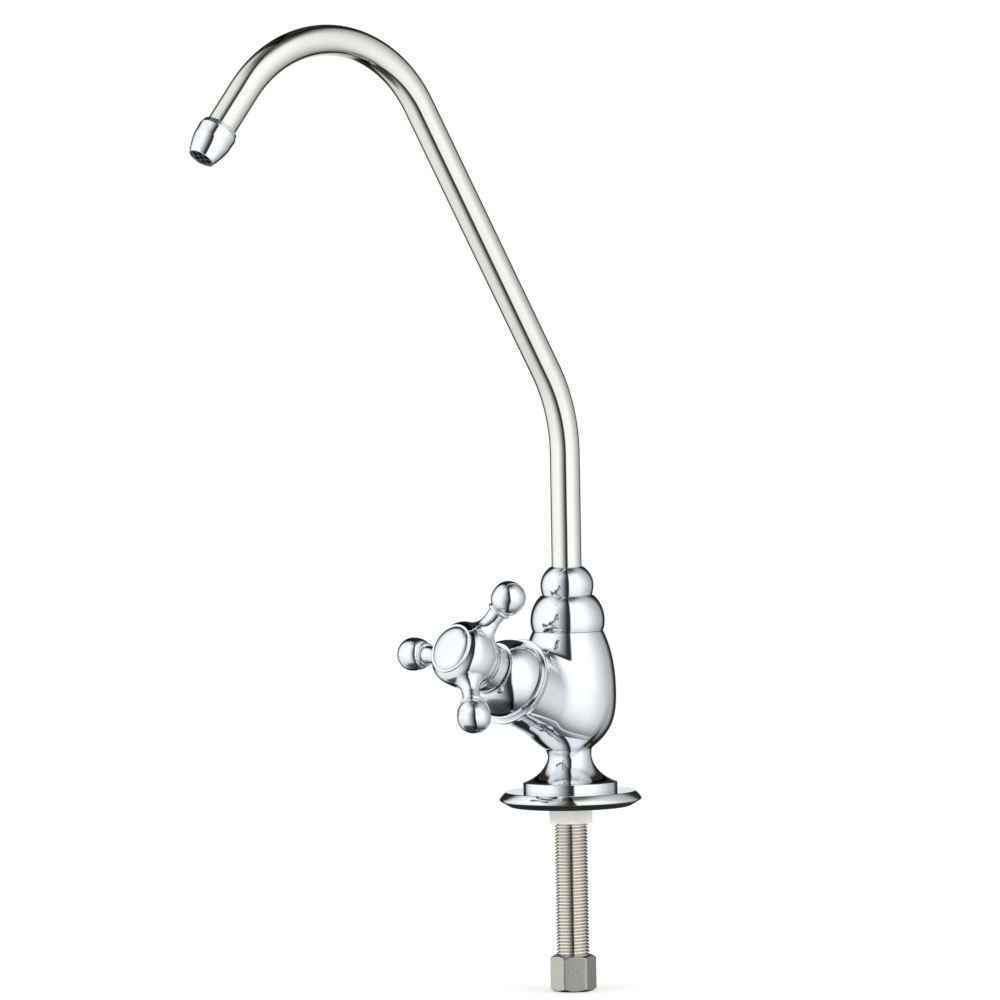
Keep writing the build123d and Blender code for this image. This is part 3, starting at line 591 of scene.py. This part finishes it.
def makeColumn(s, b):
    line = columnLine(s)
    slope = np.gradient(line[:, 0], line[:, 1])

    def radiusAt(height):
        return np.interp(height, line[:, 1], line[:, 0])

    def coneAt(reach):  # the boss's radius, that far along the valve
        return b["rootRadius"] + (b["endRadius"] - b["rootRadius"]) * reach / b["length"]

    def beltPoint(turn, height):  # a place on the plain column, turned from -Y towards +X
        radius = radiusAt(height)
        return np.stack([radius * np.sin(turn), -radius * np.cos(turn), height + 0 * turn], -1)

    def bossPoint(turn, reach):  # a place on the boss's cone, turned from up towards +X
        radius = coneAt(reach)
        local = np.stack([radius * np.sin(turn), radius * np.cos(turn), reach + 0 * turn], -1)
        return local @ valvePlace[0] + valvePlace[1]

    def columnGap(points):  # distance outside the column, nearly
        height = points[..., 2]
        lean = np.interp(height, line[:, 1], slope)
        return (np.hypot(points[..., 0], points[..., 1]) - radiusAt(height)) / np.sqrt(1 + lean**2)

    def bossGap(points):  # distance outside the boss's cone, which ends at the axis
        local = (points - valvePlace[1]) @ valvePlace[0].T
        outside = np.hypot(local[..., 0], local[..., 1]) - coneAt(local[..., 2])
        behind = -local[..., 2]
        corner = np.hypot(np.maximum(outside, 0), np.maximum(behind, 0))
        return np.where(behind > 0, corner + np.minimum(np.maximum(outside, behind), 0), outside)

    def blendGap(points):
        # a round blend: max(k, min(a, b)) - |(max(k - a, 0), max(k - b, 0))|, zero on the surface
        k = s["blend"]
        first, second = columnGap(points), bossGap(points)
        hollow = np.hypot(np.maximum(k - first, 0), np.maximum(k - second, 0))
        return np.maximum(k, np.minimum(first, second)) - hollow

    def settled(points):  # moves points along the gap's slope until it is zero
        for _ in range(s["settlings"]):
            steps = s["probe"] * np.eye(3)
            slopes = [(blendGap(points + step) - blendGap(points - step)) / (2 * s["probe"])
                      for step in steps]
            slopes = np.stack(slopes, -1)
            steepness = np.maximum((slopes**2).sum(-1), s["flattest"])
            points = points - (blendGap(points) / steepness)[..., None] * slopes
        return points

    # where each generator of the boss leaves the column, by halving
    turns = np.linspace(-np.pi, np.pi, s["creaseSteps"] + 1)
    low, high = np.zeros_like(turns), np.full_like(turns, b["length"])
    for _ in range(s["halvings"]):
        middle = (low + high) / 2
        outside = columnGap(bossPoint(turns, middle)) > 0
        low, high = np.where(outside, low, middle), np.where(outside, middle, high)
    crease = bossPoint(turns, middle)
    creaseTurn = np.arctan2(crease[:, 0], -crease[:, 1])
    creaseAngle = np.unwrap(np.arctan2(crease[:, 2] - s["patchMiddle"], creaseTurn * s["belly"]))

    # each point of the patch's border has its partner on that crease
    half = np.radians(s["patchHalf"])
    across, levels, borderTurn, borderLevel = patchBorder(half, s["patchLow"], s["patchHigh"],
                                                          s["acrossSteps"], s["sideSteps"])
    borderAngle = np.arctan2(borderLevel - s["patchMiddle"], borderTurn * s["belly"])
    order = np.argsort(creaseAngle)
    wrapped = np.mod(borderAngle - creaseAngle.min(), 2 * np.pi) + creaseAngle.min()
    jointTurn = np.interp(wrapped, creaseAngle[order], turns[order])
    jointReach = np.interp(wrapped, creaseAngle[order], middle[order])
    joint = bossPoint(jointTurn, jointReach)
    jointAround = np.arctan2(joint[:, 0], -joint[:, 1])

    share = (np.linspace(0, 1, s["ringSteps"] + 1)**s["ringGather"])[:, None]
    ring = settled(beltPoint(jointAround + (borderTurn - jointAround) * share,
                             joint[:, 2] + (borderLevel - joint[:, 2]) * share))
    share = (np.linspace(0, 1, s["bossSteps"] + 1)**s["bossGather"])[:, None]
    bossWall = settled(bossPoint(jointTurn, jointReach + (b["length"] - jointReach) * share))
    ring[-1], bossWall[-1] = beltPoint(borderTurn, borderLevel), bossPoint(jointTurn, b["length"])
    bossWall[0] = ring[0]

    # the rest of the belly, and what lies below and above the patch
    back = np.linspace(half, 2 * np.pi - half, s["backSteps"] + 1)
    allRound = np.concatenate([across[:-1], back[:-1]])
    below = line[line[:, 1] < s["patchLow"] - s["seam"]]
    above = line[line[:, 1] > s["patchHigh"] + s["seam"]]
    lowEdge, highEdge = ([[radiusAt(level), level]] for level in (s["patchLow"], s["patchHigh"]))
    shankTop, spigotFloor = s["bottom"] + s["shankDepth"], s["top"] - s["spigotDepth"]
    foot = outline((0.0, shankTop, 0.0), (s["shankBore"], shankTop, 0.1),
                   (s["shankBore"], s["bottom"], 0.1), (s["foot"] - s["footInset"], s["bottom"], 0.0),
                   spacing=1.2, closed=False)
    crown = outline((s["topRadius"] - s["crownInset"], s["top"], 0.0),
                    (s["spigotBore"], s["top"], 0.1), (s["spigotBore"], spigotFloor, 0.1),
                    (0.0, spigotFloor, 0.0), spacing=1.2, closed=False)
    lower = turnedAt(np.concatenate([foot, below, lowEdge]), np.sin(allRound), -np.cos(allRound))
    upper = turnedAt(np.concatenate([highEdge, above, crown]), np.sin(allRound), -np.cos(allRound))

    face = b["length"] + b["lipThick"]
    boreFloor = face - b["boreDepth"]
    lip = outline((b["endRadius"], b["length"], 0.0), (b["lipRear"], b["length"], 0.15),
                  (b["lipCorner"], face, b["lipRound"]), (b["bore"], face, 0.1),
                  (b["bore"], boreFloor, 0.1), (0.0, boreFloor, 0.0), spacing=0.8, closed=False)
    lipWall = turnedAt(lip, np.sin(jointTurn), np.cos(jointTurn)) @ valvePlace[0] + valvePlace[1]
    patches = [gridPatch(lower), gridPatch(upper), gridPatch(ring), gridPatch(bossWall),
               gridPatch(beltPoint(back, levels[:, None]), closedColumns=False), gridPatch(lipWall)]
    makePiece("columnBody", joined(patches), ["body"])


makeColumn(column, boss)
print("stage: column made")


# Beads above the column, which hold the spout
socketBead = {
    "low": 70.15, "top": 84.45, "base": 14.2, "crown": 10.4,
    "bulgeLeave": (1.6625, 4.29), "bulgeMeet": (4.2375, -3.432),
    "spigot": 9.45, "spigotLow": 60.65, "bore": 7.05, "thread": 9.0, "seat": 78.45,
}
capNutBead = {
    "low": 81.5, "start": 84.45, "top": 95.85, "base": 10.0, "crown": 7.0, "crownDrop": 0.35,
    "bulgeLeave": (0.75, 2.736), "bulgeMeet": (4.75, -3.982), "thread": 8.95, "hole": 6.2,
}


def makeSocketBead(s):
    turnedPiece(
        "socketBead", ["spout_socket"],
        (s["bore"], s["spigotLow"], 0.1),
        (s["spigot"], s["spigotLow"], 0.2),
        (s["spigot"], s["low"], 0.05),
        (s["base"], s["low"], 0.15),
        (s["bulgeLeave"], s["bulgeMeet"], s["crown"], s["top"], 0.12),
        (s["thread"], s["top"], 0.05),
        (s["thread"], s["seat"], 0.05),
        (s["bore"], s["seat"], 0.05),
        spacing=0.3,
    )


def makeCapNutBead(s):
    turnedPiece(
        "capNutBead", ["spout_cap_nut"],
        (s["hole"], s["low"], 0.1),
        (s["thread"], s["low"], 0.1),
        (s["thread"], s["start"], 0.05),
        (s["base"], s["start"], 0.12),
        (s["bulgeLeave"], s["bulgeMeet"], s["crown"], s["top"] - s["crownDrop"], 0.2),
        (s["hole"], s["top"], 0.1),
        spacing=0.3,
    )


makeSocketBead(socketBead)
makeCapNutBead(capNutBead)
print("stage: beads made")


# Spout tube and nozzle, in the spout's own plane: reach and height, swung from -Y towards -X
spout = {
    "radius": 6.0, "wall": 1.0, "swing": 6.65, "low": 72.35, "riser": 140.7, "lowBend": 67.1,
    "lowTurn": 30.15, "leaning": 122.6, "highBend": 51.5, "highTurn": 110.87, "falling": 33.4,
    "insideNozzle": 6.5, "stepMm": 1.1, "segments": 128,
}
nozzle = {
    "length": 14.8, "top": 7.1, "chamfer": 2.1, "wide": 7.8, "cone": 8.0, "coneRadius": 7.6,
    "coneLeave": (1.035, 2.56), "coneMeet": (-0.25, -2.24),
    "tip": 5.3, "mouth": 4.9, "shelf": 6.5, "segments": 160,
}


def spoutLine(s):
    # straight, arc, straight, arc, straight; gives points, headings and the nozzle's tip
    low, high = np.radians(s["lowTurn"]), np.radians(s["lowTurn"] + s["highTurn"])
    runs = [(0.0, 0.0, s["riser"] - s["low"]), (0.0, low, s["lowBend"] * low),
            (low, low, s["leaning"]), (low, high, s["highBend"] * (high - low)),
            (high, high, s["falling"] - s["insideNozzle"])]
    headings, chords = [np.zeros(1)], [np.zeros(1)]
    for start, end, length in runs:
        count = int(np.ceil(length / s["stepMm"]))
        share = (np.arange(count) + 0.5) / count
        headings.append(start + (end - start) * share)
        # an arc's chord is shorter than the arc, by sin(x)/x of half its turn
        chords.append(np.full(count, length / count * np.sinc((end - start) / count / 2 / np.pi)))
    heading, chord = np.concatenate(headings), np.concatenate(chords)
    path = np.stack([np.cumsum(np.sin(heading) * chord),
                     s["low"] + np.cumsum(np.cos(heading) * chord)], 1)
    node = heading.copy()
    node[:-1] = (heading[:-1] + heading[1:]) / 2
    node[0] = 0.0
    tip = path[-1] + np.array([np.sin(high), np.cos(high)]) * s["insideNozzle"]
    return path, node, tip, high


def spoutPlace(s):  # rows: along the reach, across the plane, up
    swing = np.radians(s["swing"])
    reach = np.array([-np.sin(swing), -np.cos(swing), 0.0])
    return np.array([reach, np.cross(upward, reach), upward])


def makeSpout(s, n):
    path, heading, tip, high = spoutLine(s)
    angle = np.arange(s["segments"]) * 2 * np.pi / s["segments"]

    def wall(radius):
        # centre + r (cos a * inward normal + sin a * across)
        out = radius * np.cos(angle)
        reach = path[:, :1] + np.cos(heading)[:, None] * out
        height = path[:, 1:] - np.sin(heading)[:, None] * out
        return np.stack([reach, np.repeat(radius * np.sin(angle)[None], len(path), 0), height], -1)

    walls = np.concatenate([wall(s["radius"]), wall(s["radius"] - s["wall"])[::-1]])
    axes = spoutPlace(s)
    makePiece("spoutTube", gridPatch(walls, closedRows=True), ["spout_tube"], (axes, np.zeros(3)))
    back = -(np.sin(high) * axes[0] + np.cos(high) * axes[2])
    turnedPiece(
        "spoutNozzle", ["spout_nozzle"],
        (n["mouth"], 0.0, 0.15),
        (n["tip"], 0.0, 0.15),
        (n["coneLeave"], n["coneMeet"], n["coneRadius"], n["cone"], 0.0),
        (n["wide"], n["length"] - n["chamfer"], 0.25),
        (n["top"], n["length"], 0.15),
        (s["radius"], n["length"], 0.05),
        (s["radius"], n["shelf"], 0.05),
        (n["mouth"], n["shelf"], 0.05),
        place=(np.array([axes[1], np.cross(back, axes[1]), back]), tip[0] * axes[0] + tip[1] * axes[2]),
        segments=n["segments"], spacing=0.3,
    )


makeSpout(spout, nozzle)
print("stage: spout made")


# Valve cover and collar
dome = {
    "low": 35.4, "base": 15.75, "high": 48.3, "crown": 11.3,
    "curveLeave": (1.2, 5.805), "curveMeet": (1.8, -1.7415),
    "wall": 1.6, "roofInset": 0.4, "thread": 14.5, "threadHigh": 39.9, "hole": 6.5,
}
collar = {
    "low": 48.7, "high": 53.1, "radius": 10.0, "room": 7.4, "web": 52.475, "spigot": 8.0,
    "spigotHigh": 55.6, "hole": 4.05, "segments": 160,
}


def makeDome(s):
    turnedPiece(
        "valveDome", ["bonnet_dome"],
        (s["thread"], s["low"], 0.1),
        (s["base"], s["low"], 0.12),
        (s["curveLeave"], s["curveMeet"], s["crown"], s["high"], 0.2),
        (s["hole"], s["high"], 0.15),
        (s["hole"], s["high"] - s["wall"], 0.1),
        (s["crown"] - s["roofInset"], s["high"] - s["wall"], 0.3),
        (s["thread"], s["threadHigh"], 0.3),
        place=valvePlace, spacing=0.3,
    )


def makeCollar(s):
    turnedPiece(
        "handleCollar", ["handle_skirt"],
        (s["room"], s["low"], 0.15),
        (s["radius"], s["low"], 0.2),
        (s["radius"], s["high"], 0.3),
        (s["spigot"], s["high"], 0.05),
        (s["spigot"], s["spigotHigh"], 0.1),
        (s["hole"], s["spigotHigh"], 0.1),
        (s["hole"], s["web"], 0.1),
        (s["room"], s["web"], 0.2),
        place=valvePlace, segments=s["segments"], spacing=0.4,
    )


makeDome(dome)
makeCollar(collar)
print("stage: valve cover made")


# Handle: a round hub with three arms, each flared off the hub in one piece with it
handle = {
    "middle": 63.14, "hub": 13.1, "low": 53.1, "base": 9.35, "front": 72.2, "capSeat": 70.4,
    "rim": 10.05, "capHole": 9.02, "room": 7.5, "roomFloor": 66.0, "socket": 8.02, "socketFloor": 55.6,
    "arms": 3, "armTurn": 29.45, "root": 6.2, "flare": 2.0, "flareMeet": (0.0, -2.5),
    "neck": 3.45, "neckAt": 18.0, "neckSwell": 0.2,
    "ring": 4.8, "ringAt": 22.2, "ringWidth": 1.7, "groove": 4.0,
    "ball": 6.7, "ballAt": 29.2, "ballTip": 6.3, "ballLeave": (1.8, 0.9), "ballMeet": (0.0, -3.685),
    "shoulder": 0.7, "shoulderTurn": 64.0,  # how far the hub swells behind its rim, and at which angle
    "shoulderFront": 10.0, "shoulderBack": 16.0, "shoulderFade": 4.0,
    "patchLow": -8.8, "patchHigh": 8.1, "acrossSteps": 44, "sideSteps": 36, "ringSteps": 12,
    "rearRows": 5, "frontRows": 4,
}


def armLine(s):  # (radius, distance from the valve's axis)
    root = np.sqrt(s["hub"]**2 - s["root"]**2)
    low, high = s["ringAt"] - s["ringWidth"] / 2, s["ringAt"] + s["ringWidth"] / 2
    # a curve bulges to three quarters of its handles' distance, so they reach past the ring
    ring = s["ring"] + (s["ring"] - s["groove"]) / 3
    neckEnd = s["neck"] + s["neckSwell"]
    lean = np.array([-root, s["root"]]) / s["hub"] * s["flare"]
    return outline(
        (s["root"], root, 0.0),
        (lean, s["flareMeet"], s["neck"], s["neckAt"], 0.0),
        (neckEnd, low, 0.12),
        ((ring - neckEnd, 0.0), (ring - s["groove"], 0.0), s["groove"], high, 0.12),
        (s["ballLeave"], s["ballMeet"], s["ball"], s["ballAt"], 0.0),
        ((0.0, s["ballTip"] * quarterHandle), (s["ball"] * quarterHandle, 0.0),
         0.0, s["ballAt"] + s["ballTip"], 0.0),
        spacing=0.25, closed=False,
    )


def shouldered(s, points):
    # moves each point out from the hub's middle by a bell of its angle from the axis, gone on the arms
    away = points - [0.0, 0.0, s["middle"]]
    distance = np.maximum(np.linalg.norm(away, axis=1), 0.01)
    turn = np.degrees(np.arccos(np.clip(away[:, 2] / distance, -1, 1))) - s["shoulderTurn"]
    width = np.where(turn < 0, s["shoulderFront"], s["shoulderBack"])
    fade = np.clip(1 - (distance - s["hub"]) / s["shoulderFade"], 0, 1) * (distance > s["rim"])
    move = s["shoulder"] * np.exp(-(turn / width)**2) * eased(fade)
    return points + away * (move / distance)[:, None]


def makeHandle(s):
    half = np.pi / s["arms"]
    across, _, borderTurn, borderLevel = patchBorder(half, s["patchLow"], s["patchHigh"],
                                                     s["acrossSteps"], s["sideSteps"])
    around = np.arctan2(borderLevel, borderTurn * s["hub"])
    line = armLine(s)
    rootTurn = np.arctan2(s["root"] * np.cos(around), line[0, 1])
    rootLevel = s["root"] * np.sin(around)
    share = np.linspace(0, 1, s["ringSteps"] + 1)[:, None]
    turn = rootTurn + (borderTurn - rootTurn) * share
    level = rootLevel + (borderLevel - rootLevel) * share

    def hubRadius(height):  # a sphere's: sqrt(R^2 - z^2) from its middle
        return np.sqrt(s["hub"]**2 - (height - s["middle"])**2)

    radius = np.sqrt(s["hub"]**2 - level**2)
    sideways, outwards = line[:, :1] * np.cos(around), line[:, 1:] + 0 * around
    upwards = line[:, :1] * np.sin(around) + s["middle"]
    headings = np.pi / 2 - np.radians(s["armTurn"]) - np.arange(s["arms"]) * 2 * half
    patches = []
    for heading in headings:
        hub = np.stack([radius * np.cos(turn + heading), radius * np.sin(turn + heading),
                        level + s["middle"]], -1)
        wall = np.stack([outwards * np.cos(heading) - sideways * np.sin(heading),
                         outwards * np.sin(heading) + sideways * np.cos(heading), upwards], -1)
        patches += [gridPatch(hub), gridPatch(wall)]

    rim = np.sort(np.mod(np.concatenate([heading + across[:-1] for heading in headings]), 2 * np.pi))
    sphereLow = s["middle"] - np.sqrt(s["hub"]**2 - s["base"]**2)
    rimLow = s["middle"] + np.sqrt(s["hub"]**2 - s["rim"]**2)
    rearLevels = np.linspace(sphereLow, s["middle"] + s["patchLow"], s["rearRows"])
    frontLevels = np.linspace(s["middle"] + s["patchHigh"], rimLow - 2 * supportMm, s["frontRows"])
    rear = np.concatenate([
        outline((0.0, s["socketFloor"], 0.0), (s["socket"], s["socketFloor"], 0.1),
                (s["socket"], s["low"], 0.1), (s["base"], s["low"], 0.15),
                (s["base"], sphereLow - supportMm, 0.0), spacing=0.6, closed=False),
        np.stack([hubRadius(rearLevels), rearLevels], 1)])
    front = np.concatenate([
        np.stack([hubRadius(frontLevels), frontLevels], 1),
        outline((hubRadius(rimLow - supportMm), rimLow - supportMm, 0.0), (s["rim"], rimLow, 0.02),
                (s["rim"], s["front"], 0.28), (s["capHole"], s["front"], 0.15),
                (s["capHole"], s["capSeat"], 0.05), (s["room"], s["capSeat"], 0.1),
                (s["room"], s["roomFloor"], 0.1), (0.0, s["roomFloor"], 0.0),
                spacing=0.6, closed=False)])
    patches += [gridPatch(turnedAt(part, np.cos(rim), np.sin(rim))) for part in (rear, front)]
    points, faces = joined(patches)
    makePiece("handleHub", (shouldered(s, points), faces), ["handle"], valvePlace)


frontCap = {
    "radius": 9.0, "low": 70.4, "edge": 72.35, "crown": 1.9,
    "crownLeave": (-1.62, 1.596), "crownMeet": (4.14, 0.0), "segments": 192,
}


def makeFrontCap(s):
    turnedPiece(
        "frontCap", ["index_cap"],
        (0.0, s["low"], 0.0),
        (s["radius"], s["low"], 0.1),
        (s["radius"], s["edge"], 0.1),
        (s["crownLeave"], s["crownMeet"], 0.0, s["edge"] + s["crown"], 0.0),
        place=valvePlace, segments=s["segments"], spacing=0.2, closed=False,
    )


makeHandle(handle)
makeFrontCap(frontCap)
print("stage: handle made")


# Studio: a pale floor, a pale world, two large soft lamps, and a tent that only metal shows, glowing
# with painted reflections and painted shade
studio = {
    "floorSize": 40.0, "floorSurface": {"Roughness": 0.7, "Specular IOR Level": 0.2},
    "floorColours": ("#EFEFEE", "#F0F0EF"), "dustMm": 300.0, "floorGlow": 0.25,
    "worldColour": "#FFFFFF", "worldLight": 0.88,
    "lampWatts": 7.0, "lampSize": (1.1, 1.6), "lampDistance": 1.6, "lampTurn": 50.0,
    "lampHeight": 0.7, "lampAim": 0.1,      # the lamps point at the axis at this height, in metres
}
tent = {
    "radius": 2.4, "floorDrop": 0.1, "floorHole": 0.01,
    "columns": 240, "wallRows": 72, "floorRows": 80,
    # painted reflection: brightness of the glowing cloth by its turn from the camera, in degrees,
    # positive to the camera's right
    "turns": (-180, -170, -164, -142, -134, -126, -108, -55, -50, -41, -31, -22, -13, -4, 7, 11, 50,
              60, 71, 83, 95, 109, 127, 138, 145, 164, 170, 180),
    "glows": (0.9, 0.9, 0.03, 0.03, 0.6, 1.0, 1.25, 1.35, 1.27, 1.13, 0.86, 0.56, 0.28, 0.05, 0.03,
              1.37, 1.37, 1.32, 1.17, 0.98, 0.84, 0.66, 0.53, 0.2, 0.03, 0.03, 0.9, 0.9),
    # how much of it is left at each height, in degrees above the level
    "heights": (0, 52, 63, 76, 90),
    "heightShares": (1.0, 1.0, 0.8, 0.15, 0.08),
    # the same for the window at the back, which is low
    "backTurn": 160,
    "backHeights": (0, 9, 16, 90),
    "backShares": (1.0, 1.0, 0.04, 0.04),
    # and on the cloth below the floor, by the distance from the column in metres: painted shade,
    # darkest near the column
    "reaches": (0, 0.04, 0.1, 0.135, 0.175, 0.21, 0.26, 0.37, 0.65, 2.4),
    "reachShadeShares": (0.06, 0.10, 0.17, 0.26, 0.42, 0.54, 0.65, 0.78, 0.9, 1.0),
    # painted shade: that cloth is dark under the handle; the patch's place, forward and to the right,
    # and its shares
    "patch": (0.005, -0.075),
    "handleShadeReaches": (0, 0.09, 0.14, 0.18, 0.21, 0.25, 0.3),
    "handleShadeShares": (0.03, 0.06, 0.11, 0.28, 0.7, 0.88, 1.0),
}


def directionAt(turn):  # level, turned from the camera's side towards its right
    return cameraAway * np.cos(np.radians(turn)) + cameraRight * np.sin(np.radians(turn))


def stageObject(name, vertices, faces, material):
    mesh = bpy.data.meshes.new(name)
    mesh.from_pydata(vertices.tolist(), [], faces.tolist())
    mesh.materials.append(material)
    return addObject(name, mesh)


def makeFloor(s):
    material, tree, shader, place = newMaterial("paleFloor", s["floorSurface"])
    finish(tree, shader, colours=(lumpsOf(tree, place, s["dustMm"]), *s["floorColours"]))
    # what the camera sees of it is lifted to white, and the shadow stays
    seen = addNode(tree, "ShaderNodeLightPath")
    lift = addNode(tree, "ShaderNodeMath", {"operation": "MULTIPLY", 1: s["floorGlow"]},
                   {0: seen.outputs["Is Camera Ray"]})
    shader.inputs["Emission Color"].default_value = (1, 1, 1, 1)
    tree.links.new(lift.outputs["Value"], shader.inputs["Emission Strength"])
    half, low = s["floorSize"] / 2, cadLow[2]
    corners = np.array([[-half, -half, low], [half, -half, low], [half, half, low], [-half, half, low]])
    floor = stageObject("floor", corners, np.array([[0, 1, 2, 3]]), material)
    floor.visible_glossy = False            # the metal shows the tent's cloth instead


def makeWorld(s):
    world = bpy.data.worlds.new("studioWorld")
    tree = clearTree(world)
    # white where it is seen, directly or by reflection, and a little weaker as a light
    seen = addNode(tree, "ShaderNodeLightPath")
    rays = seen.outputs["Is Camera Ray"]
    for kind in ("Is Glossy Ray", "Is Transmission Ray"):
        either = addNode(tree, "ShaderNodeMath", {"operation": "MAXIMUM"},
                         {0: rays, 1: seen.outputs[kind]})
        rays = either.outputs["Value"]
    strength = addNode(tree, "ShaderNodeMapRange", {"To Min": s["worldLight"], "To Max": 1.0},
                       {"Value": rays})
    light = addNode(tree, "ShaderNodeBackground", {"Color": linear(s["worldColour"])},
                    {"Strength": strength.outputs["Result"]})
    addNode(tree, "ShaderNodeOutputWorld", links={"Surface": light.outputs["Background"]})
    bpy.context.scene.world = world


def makeLamp(s, name, turn):
    lamp = bpy.data.lights.new(name, "AREA")
    lamp.shape = "RECTANGLE"
    lamp.size, lamp.size_y = s["lampSize"]
    lamp.energy = s["lampWatts"]
    place = directionAt(turn) * s["lampDistance"] + upward * s["lampHeight"]
    back = place - upward * s["lampAim"]
    back /= np.linalg.norm(back)
    side = np.cross(upward, back)
    side /= np.linalg.norm(side)
    holder = addObject(name, lamp)
    holder.matrix_world = placed(side, np.cross(back, side), back, place)
    holder.visible_glossy = False


def paintedReflectionMaterial():  # cloth that glows with the painted reflections kept in its mesh
    material = bpy.data.materials.new("paintedReflectionCloth")
    tree = clearTree(material)
    glow = addNode(tree, "ShaderNodeAttribute", {"attribute_name": "paintedReflectionGlow"})
    light = addNode(tree, "ShaderNodeEmission", {"Color": (1, 1, 1, 1)},
                    {"Strength": glow.outputs["Fac"]})
    addNode(tree, "ShaderNodeOutputMaterial", links={"Surface": light.outputs["Emission"]})
    material.cycles.emission_sampling = "NONE"
    return material


def makeTent(s):
    # a dome over a round cloth: each point glows by its turn from the camera times its height's share,
    # a painted reflection that only metal sees
    turns = np.linspace(-180, 180, s["columns"], endpoint=False)
    directions = np.stack([directionAt(turn) for turn in turns])
    low = cadLow[2] - s["floorDrop"]
    heights = np.linspace(0, 90, s["wallRows"])
    rise = np.radians(heights)[:, None, None]
    dome = directions * np.cos(rise) * s["radius"] + upward * (low + np.sin(rise) * s["radius"])
    reaches = np.geomspace(s["floorHole"], s["radius"], s["floorRows"])
    cloth = directions * reaches[:, None, None] + upward * low
    patch = cameraAway * s["patch"][0] + cameraRight * s["patch"][1]
    fromPatch = np.hypot(cloth[..., 0] - patch[0], cloth[..., 1] - patch[1])
    # painted shade on the cloth, seen only in the metal: darker near the column and under the handle
    cover = np.minimum(np.interp(reaches, s["reaches"], s["reachShadeShares"])[:, None],
                       np.interp(fromPatch, s["handleShadeReaches"], s["handleShadeShares"]))
    side = np.interp(heights[1:], s["heights"], s["heightShares"])[:, None]
    back = np.interp(heights[1:], s["backHeights"], s["backShares"])[:, None]
    shares = np.concatenate([cover, np.where(np.abs(turns) > s["backTurn"], back, side)])
    glows = shares * np.interp(turns, s["turns"], s["glows"])
    vertices, faces = gridPatch(np.concatenate([cloth, dome[1:]]))
    shell = stageObject("paintedReflectionTent", vertices, faces, paintedReflectionMaterial())
    glow = shell.data.attributes.new("paintedReflectionGlow", "FLOAT", "POINT")
    glow.data.foreach_set("value", glows.astype(np.float32).ravel())
    shell.visible_camera = False
    shell.visible_diffuse = False
    shell.visible_shadow = False


makeFloor(studio)
makeWorld(studio)
makeLamp(studio, "lampRight", studio["lampTurn"])
makeLamp(studio, "lampLeft", -studio["lampTurn"])
makeTent(tent)
bpy.context.scene.view_settings.view_transform = "Standard"
print("stage: studio made")
